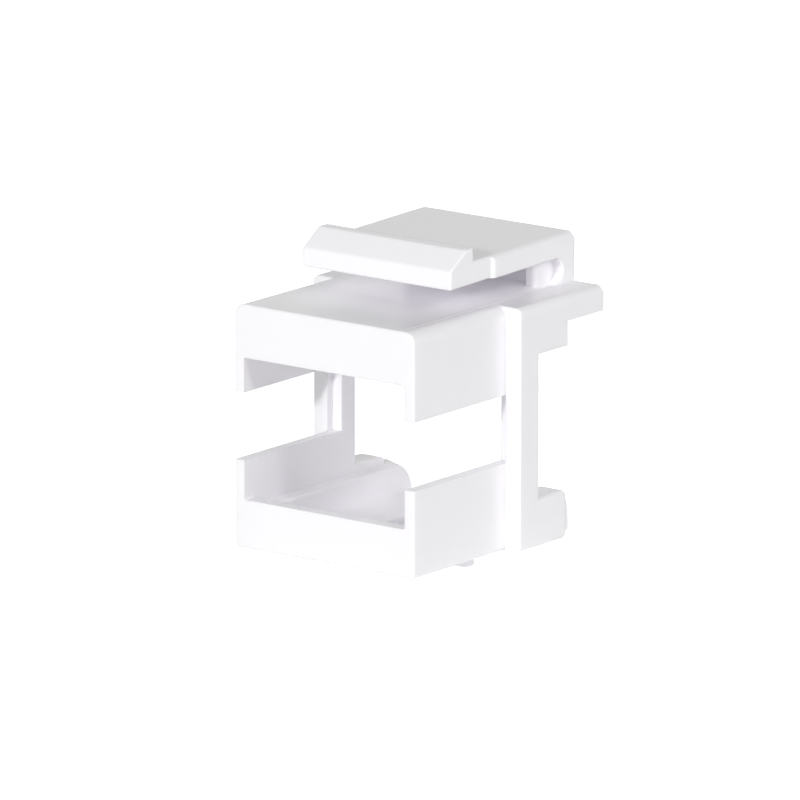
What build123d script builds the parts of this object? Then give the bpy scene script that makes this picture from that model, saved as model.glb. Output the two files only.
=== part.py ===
"""Keystone fibre coupler insert: one moulded frame that holds a fibre adapter in a keystone port.

The frame is a single injection moulding. Its nose fills the port, a shoulder stops it against the
back of the panel, a fixed catch under the nose and a sprung latch above it hold it there, and the
adapter slides in from the front between the side walls and clips behind the two legs.

Millimetres. X runs across the frame, Y from the nose to the back and Z up. The origin is the
centre of the nose's outline in the plane of the shoulder's front face.
"""

import os

from build123d import *

# Nose: the block that fills the keystone port
nose_width = 14.5
nose_height = 16.1
nose_depth = 9.7
nose_top_radius = 0.75
nose_bottom_radius = 0.3
front_wall = 1.0
side_wall = 0.75
chin_height = 3.2
opening_height = 9.4

# Rails that carry the adapter, and the channels between them
rail_width = 1.0
rail_drop = 0.5
floor_thickness = 0.84
tongue_depth = 6.75
tongue_outer_round = 0.5
tongue_inner_round = 1.25
groove_width = 2.9
groove_depth = 0.4

# Side slots that the adapter's ears slide in
slot_height = 4.5
slot_overrun = 0.55

# Shoulder, legs and the steps behind them
shoulder_width = 16.86
leg_depth = 1.95
block_height = 3.3
block_depth = 5.08
block_fall = 0.1
block_top_radius = 0.3
block_radius = 0.35
step_drop = 3.3
ledge_thickness = 1.68
ledge_depth = 9.28
ledge_radius = 0.5
shoulder_radius = 0.45

# Fixed catch under the nose
catch_width = 12.0
catch_height = 0.85
catch_length = 2.5
catch_setback = 1.7
catch_radius = 0.25

# Sprung latch: arm, hook and root
latch_width = 12.0
latch_flare = 0.2
latch_gap = 1.6
latch_rise = 0.26
latch_front = 4.23
arm_thickness = 1.47
hook_lip = 1.26
hook_height = 0.88
hook_ramp = 1.7
hook_flat = 0.75
hook_radius = 0.5
lip_radius = 0.25
root_wall = 1.45
root_setback = 0.2
root_radius = 0.6
web_depth = 2.0
web_inset = 0.8
web_thickness = 0.75

# Witness line that the slide under the latch leaves on the nose
seam_width = 0.15
seam_height = 0.03

# Small roundings
edge_radius = 0.15
band_radius = 0.4
rail_radius = 0.2
web_radius = 0.3

half_width = shoulder_width / 2
top = nose_height / 2
bottom = -nose_height / 2
inner_width = nose_width - 2 * side_wall
channel_width = inner_width - 2 * rail_width
opening_bottom = bottom + chin_height
opening_top = opening_bottom + opening_height
rail_bottom = opening_bottom - rail_drop
rail_top = opening_top + rail_drop
floor_level = bottom + floor_thickness
ceiling_level = top - floor_thickness
nose_front = -nose_depth
overall_depth = nose_depth + ledge_depth

# The arm leans: its free end is lower than its root by latch_rise
root_back = ledge_depth - root_setback
root_front = root_back - root_wall
arm_front = -latch_front
arm_slope = latch_rise / (root_front - arm_front)
hook_back = arm_front + hook_ramp + hook_flat
slot_radius = (latch_gap + latch_rise) / 2
slot_centre = root_front - slot_radius
web_front = root_front - web_depth
web_outside = latch_width / 2 + latch_flare - web_inset
catch_back = -catch_setback
catch_front = catch_back - catch_length


def arm_underside_at(y):
    """Height of the arm's lower face at a place along the arm."""
    return top + latch_gap + arm_slope * (y - arm_front)


def arm_top_at(y):
    """Height of the arm's upper face at a place along the arm."""
    return arm_underside_at(y) + arm_thickness


# Side profile of the latch: the arm, its hook, the round end of the slot below it and its root
lip_level = arm_underside_at(arm_front) + hook_lip
crest_level = arm_top_at(hook_back) + hook_height
with BuildSketch(Plane.YZ) as latch_outline:
    with BuildLine():
        Polyline(
            (slot_centre, arm_underside_at(slot_centre)),
            (arm_front, arm_underside_at(arm_front)),
            (arm_front, lip_level),
            (arm_front + hook_ramp, crest_level),
            (hook_back, crest_level),
            (hook_back, arm_top_at(hook_back)),
            (root_back, arm_top_at(root_back)),
            (root_back, ceiling_level),
            (slot_centre, ceiling_level),
            (slot_centre, top),
        )
        ThreePointArc(
            (slot_centre, top),
            (root_front, top + slot_radius),
            (slot_centre, arm_underside_at(slot_centre)),
        )
    make_face()
    fillet(vertices().sort_by_distance((root_back, arm_top_at(root_back)))[0], root_radius)
    fillet(vertices().sort_by_distance((arm_front + hook_ramp, crest_level))[0], hook_radius)
    fillet(vertices().sort_by_distance((arm_front, lip_level))[0], lip_radius)
    fillet(vertices().sort_by_distance((arm_front, arm_underside_at(arm_front)))[0], edge_radius)

# Behind the shoulder the arm and its root are a little wider
with BuildSketch(Plane.YZ) as band_outline:
    add(latch_outline.sketch_local)
    with Locations((ledge_depth / 2, top)):
        Rectangle(ledge_depth, nose_height, mode=Mode.INTERSECT)


def upper_side_edge(edge):
    """An edge on the latch's flanks that lies above the middle of the arm."""
    place = edge.center()
    on_flank = abs(place.X) > latch_width / 2 - edge_radius and edge.bounding_box().size.X < edge_radius
    return on_flank and place.Z > arm_underside_at(place.Y) + hook_lip / 3


def inner_rail_edge(edge):
    """An edge between a rail's face and its channel."""
    place = edge.center()
    lengthwise = edge.bounding_box().size.Y > front_wall and edge.bounding_box().size.X < edge_radius
    on_channel = abs(abs(place.X) - channel_width / 2) < edge_radius
    at_rail = abs(place.Z - rail_bottom) < edge_radius or abs(place.Z - rail_top) < edge_radius
    return lengthwise and on_channel and at_rail


# Nose, a block with softer corners on top than below, run on through the shoulder
with BuildPart() as nose:
    with BuildSketch(Plane.XZ.offset(-leg_depth)):
        Rectangle(nose_width, nose_height)
        fillet(vertices().group_by(Axis.Y)[-1], nose_top_radius)
        fillet(vertices().group_by(Axis.Y)[0], nose_bottom_radius)
    extrude(amount=leg_depth + nose_depth)
    fillet(faces().sort_by(Axis.Y)[0].edges(), edge_radius)

# Shoulder, legs, lower blocks and upper ledge share one side profile
with BuildPart() as shoulder:
    with BuildSketch(Plane.YZ):
        with BuildLine():
            Polyline(
                (0, bottom),
                (0, top),
                (ledge_depth, top),
                (ledge_depth, top - ledge_thickness),
                (block_depth, top - ledge_thickness),
                (block_depth, top - step_drop),
                (leg_depth, top - step_drop),
                (leg_depth, bottom + block_height),
                (block_depth, bottom + block_height - block_fall),
                (block_depth, bottom),
                close=True,
            )
        make_face()
        fillet(vertices().sort_by_distance((ledge_depth, top))[0], ledge_radius)
        fillet(vertices().sort_by_distance((block_depth, bottom + block_height))[0], block_top_radius)
        fillet(vertices().sort_by_distance((block_depth, bottom))[0], block_radius)
    extrude(amount=half_width, both=True)
    long_edges = edges().filter_by(Axis.Y).group_by(Axis.Z)
    fillet(long_edges[-1], shoulder_radius)
    fillet(edges().filter_by(Axis.Y).group_by(Axis.Z)[0], nose_bottom_radius)
    fillet(edges().group_by(Axis.Y)[0].filter_by(Axis.Z), edge_radius)


def tongue_section(distance, round_length):
    """Side profile of the tongue at a distance from the middle, with its rounded end."""
    with BuildSketch(Plane.YZ.offset(distance)) as profile:
        with BuildLine():
            Polyline(
                (tongue_depth, floor_level),
                (tongue_depth, bottom),
                (0, bottom),
                (0, rail_bottom),
                (tongue_depth - round_length, rail_bottom),
            )
            ThreePointArc(
                (tongue_depth - round_length, rail_bottom),
                (tongue_depth - 0.4 * round_length, (2 * rail_bottom + floor_level) / 3),
                (tongue_depth, floor_level),
            )
        make_face()
    return profile.sketch


# Tongue: the floor and its rails run on behind the lower blocks, with ends that round inwards
with BuildPart() as tongue:
    inner_section = tongue_section(channel_width / 2, tongue_inner_round)
    outer_section = tongue_section(nose_width / 2, tongue_outer_round)
    loft([inner_section, outer_section])
    mirror(about=Plane.YZ)
    extrude(inner_section, amount=-channel_width)
    fillet(edges().filter_by(Axis.X).group_by(Axis.Z)[0].group_by(Axis.Y)[-1], nose_bottom_radius)

# Fixed catch: a ridge with a rounded lead-in and a square back
with BuildPart() as catch:
    with BuildSketch(Plane.YZ):
        with BuildLine():
            Polyline(
                (catch_back, bottom - catch_height),
                (catch_back, floor_level),
                (catch_front, floor_level),
                (catch_front, bottom),
            )
            ThreePointArc(
                (catch_front, bottom),
                (catch_front + 0.4 * catch_length, bottom - 0.68 * catch_height),
                (catch_back, bottom - catch_height),
            )
        make_face()
        fillet(vertices().sort_by_distance((catch_back, bottom - catch_height))[0], catch_radius)
    extrude(amount=catch_width / 2, both=True)

# Latch: the arm with its hook, and the wider band behind the shoulder
with BuildPart() as arm:
    extrude(latch_outline.sketch, amount=latch_width / 2, both=True)
    fillet(edges().filter_by(upper_side_edge), edge_radius)

with BuildPart() as band:
    extrude(band_outline.sketch, amount=latch_width / 2 + latch_flare, both=True)
    fillet(edges().filter_by(upper_side_edge), band_radius)

# Webs: they stiffen the root, inside the round end of the slot
with BuildPart() as webs:
    with BuildSketch(Plane.YZ):
        with BuildLine():
            Polyline(
                (web_front, ceiling_level),
                (web_front, arm_underside_at(web_front) + edge_radius),
                (root_front + root_wall / 2, arm_underside_at(root_front) + edge_radius),
                (root_front + root_wall / 2, ceiling_level),
                close=True,
            )
        make_face()
    extrude(amount=web_outside, both=True)
    fillet(edges().filter_by(Axis.Z).group_by(Axis.Y)[0], web_radius)
    with BuildSketch(Plane.XY.offset(ceiling_level)):
        with Locations((0, ledge_depth / 2)):
            Rectangle(2 * (web_outside - web_thickness), ledge_depth)
    extrude(amount=nose_height, mode=Mode.SUBTRACT)

with BuildPart() as insert_frame:
    for piece in (nose, shoulder, tongue, catch, arm, band, webs):
        add(piece.part)

    # Adapter passage: the front opening, then the space between the rails
    with BuildSketch(Plane.XZ.offset(nose_depth)):
        with Locations((0, (opening_bottom + opening_top) / 2)):
            RectangleRounded(inner_width, opening_height, edge_radius)
    extrude(amount=-overall_depth, mode=Mode.SUBTRACT)
    with BuildSketch(Plane.XZ.offset(nose_depth - front_wall)):
        with Locations((0, (rail_bottom + rail_top) / 2)):
            Rectangle(inner_width, rail_top - rail_bottom)
    extrude(amount=front_wall - overall_depth, mode=Mode.SUBTRACT)

    # Channels between the rails, and a shallow groove down the middle of the floor
    with BuildSketch(Plane.XZ.offset(nose_depth - front_wall)):
        Rectangle(channel_width, ceiling_level - floor_level)
    extrude(amount=front_wall - overall_depth, mode=Mode.SUBTRACT)
    with BuildSketch(Plane.XZ.offset(nose_depth - front_wall)):
        with Locations((0, floor_level)):
            Rectangle(groove_width, 2 * groove_depth)
    extrude(amount=front_wall - overall_depth, mode=Mode.SUBTRACT)

    # Side slots, open at the front and sunk a little into the shoulder
    with BuildSketch(Plane.XZ.offset(nose_depth)):
        Rectangle(nose_width, slot_height)
    extrude(amount=-(nose_depth + slot_overrun), mode=Mode.SUBTRACT)

    # Rails' inner edges
    fillet(edges().filter_by(inner_rail_edge), rail_radius)

    # Witness line along the top, in line with the latch's right side
    seam_length = slot_centre - nose_front - 2 * edge_radius
    seam_middle = slot_centre - seam_length / 2
    with BuildSketch(Plane.XY.offset(top)):
        with Locations((latch_width / 2, seam_middle)):
            Rectangle(seam_width, seam_length)
    extrude(amount=seam_height)

insert_frame.part.label = "insert_frame"
print("Volume", round(insert_frame.part.volume, 1), "cubic millimetres")
print("Solids", len(insert_frame.part.solids()))
os.makedirs("parts", exist_ok=True)
export_step(insert_frame.part, "parts/insert_frame.step")
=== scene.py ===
# %% [markdown]
# # A keystone fibre coupler insert in white moulded plastic
#
# The real part is one small injection moulding, about 17 x 19 x 21 mm. It snaps into a keystone
# port of a patch panel and carries a fibre adapter. Its shape comes ready made from the CAD
# model, so this script is about the other half of a good picture: the plastic, the light and
# the camera. Everything is in metres, in the frame of the CAD model.

import math

import bmesh
import bpy
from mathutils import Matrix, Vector


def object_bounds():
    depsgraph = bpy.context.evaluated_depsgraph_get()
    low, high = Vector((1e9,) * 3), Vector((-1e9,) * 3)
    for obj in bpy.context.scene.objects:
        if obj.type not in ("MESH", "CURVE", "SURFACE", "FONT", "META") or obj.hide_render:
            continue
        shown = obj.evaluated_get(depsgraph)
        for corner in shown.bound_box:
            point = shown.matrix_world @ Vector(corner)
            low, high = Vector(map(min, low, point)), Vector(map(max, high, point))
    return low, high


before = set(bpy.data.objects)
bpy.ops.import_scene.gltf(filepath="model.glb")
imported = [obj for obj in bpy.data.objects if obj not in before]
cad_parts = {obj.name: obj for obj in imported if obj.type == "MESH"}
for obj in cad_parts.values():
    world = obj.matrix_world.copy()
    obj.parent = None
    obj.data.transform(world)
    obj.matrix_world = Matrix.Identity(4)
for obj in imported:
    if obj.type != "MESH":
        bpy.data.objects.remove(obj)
cad_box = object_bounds()
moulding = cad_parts["insert_frame"]
print("CAD box in mm", [[round(1000 * c, 2) for c in corner] for corner in cad_box])

# %% [markdown]
# ## The camera
#
# The photograph was taken with a long lens from the right of the nose and a little above it, so
# the edges hardly converge. The camera stands on a line through the point that it aims at. Its
# turn and its height are angles that were measured on the object's own straight edges. A long
# lens needs a large distance, and both together set how big the part is in the picture. The
# inside of the frame is lit by light that bounced off the white walls, so rays may bounce often.

# %% Place the camera
MM = 0.001
AZIMUTH = math.radians(37.491)
ELEVATION = math.radians(13.428)
AIM = Vector((-1.299, 0.0, 0.675)) * MM
DISTANCE = 650 * MM
SENSOR_WIDTH = 36.0
LENS = 451.7
LIGHT_BOUNCES = 10


def direction(azimuth, elevation):
    """The unit vector from the object to something that stands at these two angles."""
    level = math.cos(elevation)
    return Vector((math.sin(azimuth) * level, -math.cos(azimuth) * level, math.sin(elevation)))


def look_at(thing, place, aim):
    """Puts a lamp or a camera at a place and turns its face to the aim."""
    thing.location = place
    thing.rotation_euler = (aim - place).to_track_quat("-Z", "Y").to_euler()


scene = bpy.context.scene
camera = bpy.data.objects.new("camera", bpy.data.cameras.new("camera"))
scene.collection.objects.link(camera)
camera.data.sensor_width = SENSOR_WIDTH
camera.data.lens = LENS
look_at(camera, AIM + DISTANCE * direction(AZIMUTH, ELEVATION), AIM)
scene.camera = camera
scene.view_settings.view_transform = "Standard"
scene.cycles.diffuse_bounces = LIGHT_BOUNCES
print("camera stands", round(camera.location.length, 3), "m away")

# %% [markdown]
# ## Writing a material as sums and products
#
# Blender's materials are graphs of nodes. Wired by hand in code they are hard to read, so the
# small class below holds one output of a node and lets Python's own signs add the Math nodes:
# `0.2 + 0.1 * flow` is then a real part of the graph. Every other node comes from one method,
# `node`, which first sets the options of the node and then fills or links its sockets.

# %% A small language for shader graphs
class Signal:
    """One output of a node. Sums and products of signals add Math nodes to the same graph."""

    def __init__(self, graph, socket):
        self.graph = graph
        self.socket = socket

    def math(self, operation, first, second):
        """Joins two values, at least one of them a signal, with a Math node."""
        return self.graph.node("ShaderNodeMath", {"operation": operation}, {0: first, 1: second})

    def __add__(self, other):
        return self.math("ADD", self, other)

    def __mul__(self, other):
        return self.math("MULTIPLY", self, other)

    __radd__ = __add__
    __rmul__ = __mul__


class Graph:
    """The node graph of one material or world."""

    def __init__(self, tree):
        self.tree = tree
        self.tree.nodes.clear()

    def node(self, kind, options=None, inputs=None, output=0):
        """Adds a node, sets its options, fills its sockets and gives back one of its outputs."""
        made = self.tree.nodes.new(kind)
        for name, value in (options or {}).items():
            setattr(made, name, value)
        for name, value in (inputs or {}).items():
            if isinstance(value, Signal):
                self.tree.links.new(value.socket, made.inputs[name])
            else:
                made.inputs[name].default_value = value
        return Signal(self, made.outputs[output]) if made.outputs else None


def blend(graph, factor, first, second):
    """Blends two colours. On a Mix node they have sockets 6 and 7, and the result is output 2."""
    inputs = {0: factor, 6: first, 7: second}
    return graph.node("ShaderNodeMix", {"data_type": "RGBA"}, inputs, output=2)


def seen_directly(graph):
    """One for rays from the camera, a reflection or a clear material, nought for bounced light."""
    rays = ("Is Camera Ray", "Is Glossy Ray", "Is Transmission Ray")
    camera_ray, glossy_ray, clear_ray = (
        graph.node("ShaderNodeLightPath", output=name) for name in rays
    )
    largest = {"operation": "MAXIMUM"}
    either = graph.node("ShaderNodeMath", largest, {0: camera_ray, 1: glossy_ray})
    return graph.node("ShaderNodeMath", largest, {0: either, 1: clear_ray})


def new_material(name):
    """A named material with an empty graph."""
    material = bpy.data.materials.new(name)
    material.use_nodes = True
    return material, Graph(material.node_tree)


print("graph helpers ready")

# %% [markdown]
# ## The plastic
#
# The insert is moulded in a bright white, glossy plastic. Up close such a surface is never
# perfectly even: the white drifts a little where the melt cooled at another speed, faint flow
# marks run along the way that the melt went, and a very fine ripple, like the skin of an orange,
# bends the reflections. The photograph is too small to measure these patterns, so their sizes
# and strengths are guesses. Each of the three is a noise pattern on Object coordinates, in
# millimetres, so it stays put on the part. The named values say about how many waves of a
# pattern fit into one millimetre; the flow marks are long and thin, so they have one value for
# each axis.

# %% Patterns in the plastic
DRIFT_PER_MM = 0.16
FLOW_PER_MM = (1.4, 0.12, 1.4)
RIPPLE_PER_MM = 2.6
plastic, graph = new_material("white_moulded_plastic")
place = graph.node("ShaderNodeTexCoord", output="Object")
in_mm = graph.node("ShaderNodeVectorMath", {"operation": "SCALE"}, {0: place, "Scale": 1 / MM})
drift = graph.node("ShaderNodeTexNoise", None, {
    "Vector": in_mm,
    "Scale": DRIFT_PER_MM,
    "Detail": 2.0,
    "Roughness": 0.5,
})
along_melt = graph.node("ShaderNodeMapping", None, {"Vector": in_mm, "Scale": FLOW_PER_MM})
flow = graph.node("ShaderNodeTexNoise", None, {
    "Vector": along_melt,
    "Scale": 1.0,
    "Detail": 3.0,
    "Distortion": 0.6,
})
ripple = graph.node("ShaderNodeTexNoise", None, {
    "Vector": in_mm,
    "Scale": RIPPLE_PER_MM,
    "Detail": 2.0,
    "Roughness": 0.55,
})
print("patterns", len(graph.tree.nodes), "nodes")

# %% [markdown]
# ## From patterns to a surface
#
# The patterns feed the shader's colour, its roughness and a bump. The bump starts from a Bevel
# node, which rounds the look of every edge by less than a tenth of a millimetre: no moulding has
# a knife edge, and that small round is what catches the light as a thin line. The skin is well
# polished, and the flow marks make it a touch duller. A trace of subsurface light softens the
# thin walls; how far light enters the real plastic is a guess. The two whites were tuned
# together with the lamps, by comparing renders with the photograph, so they aren't measured
# colours: with other lamps a plainer white may suit better.

# %% Wire the plastic
WHITE = (0.967, 0.955, 0.983, 1.0)
COOLER_WHITE = (0.957, 0.945, 0.975, 1.0)
EDGE_ROUND = 0.08 * MM
SKIN_HEIGHT = 0.006 * MM
LIGHT_REACH = 0.4 * MM
POLISHED = 0.13
FLOW_HAZE = 0.10
colour = blend(graph, drift, WHITE, COOLER_WHITE)
soft_edges = graph.node("ShaderNodeBevel", {"samples": 6}, {"Radius": EDGE_ROUND})
rippled = graph.node("ShaderNodeBump", None, {
    "Height": 0.6 * ripple + 0.4 * flow,
    "Distance": SKIN_HEIGHT,
    "Strength": 0.5,
    "Normal": soft_edges,
})
surface = graph.node("ShaderNodeBsdfPrincipled", None, {
    "Base Color": colour,
    "Roughness": POLISHED + FLOW_HAZE * flow,
    "IOR": 1.49,
    "Subsurface Weight": 0.3,
    "Subsurface Radius": (1.0, 0.95, 0.9),
    "Subsurface Scale": LIGHT_REACH,
    "Normal": rippled,
})
graph.node("ShaderNodeOutputMaterial", None, {"Surface": surface})
moulding.material_slots[0].material = plastic
print("plastic on", moulding.name)

# %% [markdown]
# ## The floor
#
# The photograph has a plain white ground. A disc at the height of the part's lowest point is
# enough: the camera looks down on it and never sees its edge, and a lower view finds the same
# white behind it. It ends before the lamps, because past them it would turn grey. To the camera
# and in reflections the floor also glows, so that it reaches white while the lamps stay at a
# plain level. The part still throws its shadow there, though on so bright a floor it hardly
# shows, as in the photograph. From below the disc is clear, so that a view from underneath shows
# the part.

# %% Make the floor
FLOOR_RADIUS = 0.35
FLOOR_WHITE = (0.92, 0.92, 0.92, 1.0)
FLOOR_GLOW = 0.72
floor_level = cad_box[0].z
disc = bmesh.new()
bmesh.ops.create_circle(disc, cap_ends=True, segments=64, radius=FLOOR_RADIUS)
bmesh.ops.translate(disc, verts=disc.verts, vec=(0, 0, floor_level))
floor_mesh = bpy.data.meshes.new("floor")
disc.to_mesh(floor_mesh)
disc.free()
floor = bpy.data.objects.new("floor", floor_mesh)
scene.collection.objects.link(floor)

floor_material, graph = new_material("white_ground")
ground = graph.node("ShaderNodeBsdfDiffuse", None, {"Color": FLOOR_WHITE})
glow = graph.node("ShaderNodeEmission", None, {"Strength": FLOOR_GLOW * seen_directly(graph)})
from_above = graph.node("ShaderNodeAddShader", None, {0: ground, 1: glow})
from_below = graph.node("ShaderNodeBsdfTransparent")
underside = graph.node("ShaderNodeNewGeometry", output="Backfacing")
one_sided = graph.node("ShaderNodeMixShader", None, {0: underside, 1: from_above, 2: from_below})
graph.node("ShaderNodeOutputMaterial", None, {"Surface": one_sided})
floor_mesh.materials.append(floor_material)
print("floor at", round(1000 * floor_level, 2), "mm")

# %% [markdown]
# ## The light
#
# The world is only the white surround: the camera and reflections see it as white, and it sends
# no light of its own, so the lamps alone shape the part. Two of them are small and hard. Where
# these stand was estimated from shadow edges in the photograph, one in front and one on the
# right, and then tried in renders. The right one is the less certain: two readings of its shadow
# disagreed, 27 to 28 degrees high and about 48. It stands at 31, picked by trial, because lower
# down it made the floor of the frame too bright. The other lamps are wide and fill in. The mix
# began as a least-squares fit of many trial lamps to the photograph, and places, sizes and
# powers were then changed. So it gives the photograph's look from the photograph's side,
# and isn't a survey of the real studio. All lamps stand on a sphere around the part, so a lamp
# needs only two angles, a size and a power.

# %% Make the white surround
world = bpy.data.worlds.new("white_surround")
scene.world = world
world.use_nodes = True
graph = Graph(world.node_tree)
surround = graph.node("ShaderNodeBackground", None, {
    "Color": (1.0, 1.0, 1.0, 1.0),
    "Strength": seen_directly(graph),
})
graph.node("ShaderNodeOutputWorld", None, {"Surface": surround})
print("surround", len(graph.tree.nodes), "nodes")

# %% Place the lamps
LAMP_DISTANCE = 0.8


def lamp(name, azimuth, elevation, size, power):
    """A square area lamp that faces the part: two angles in degrees, its side in metres, watts."""
    light = bpy.data.objects.new(name, bpy.data.lights.new(name, "AREA"))
    light.data.shape = "SQUARE"
    light.data.size = size
    light.data.energy = power
    scene.collection.objects.link(light)
    toward = direction(math.radians(azimuth), math.radians(elevation))
    look_at(light, LAMP_DISTANCE * toward, Vector((0, 0, 0)))
    return light


lamps = [
    lamp("front_lamp", 8, 16, 0.05, 2.55),
    lamp("fill_lamp", 5, 12, 0.6, 2.6),
    lamp("right_lamp", 97, 20, 0.6, 2.08),
    lamp("high_lamp", 90, 50, 0.6, 0.85),
    lamp("slot_lamp", 72, 31, 0.05, 0.72),
    lamp("left_lamp", -90, 40, 0.6, 0.95),
    lamp("back_lamp", 180, 3, 0.6, 3.1),
]
print("lamps", {light.name: light.data.energy for light in lamps})
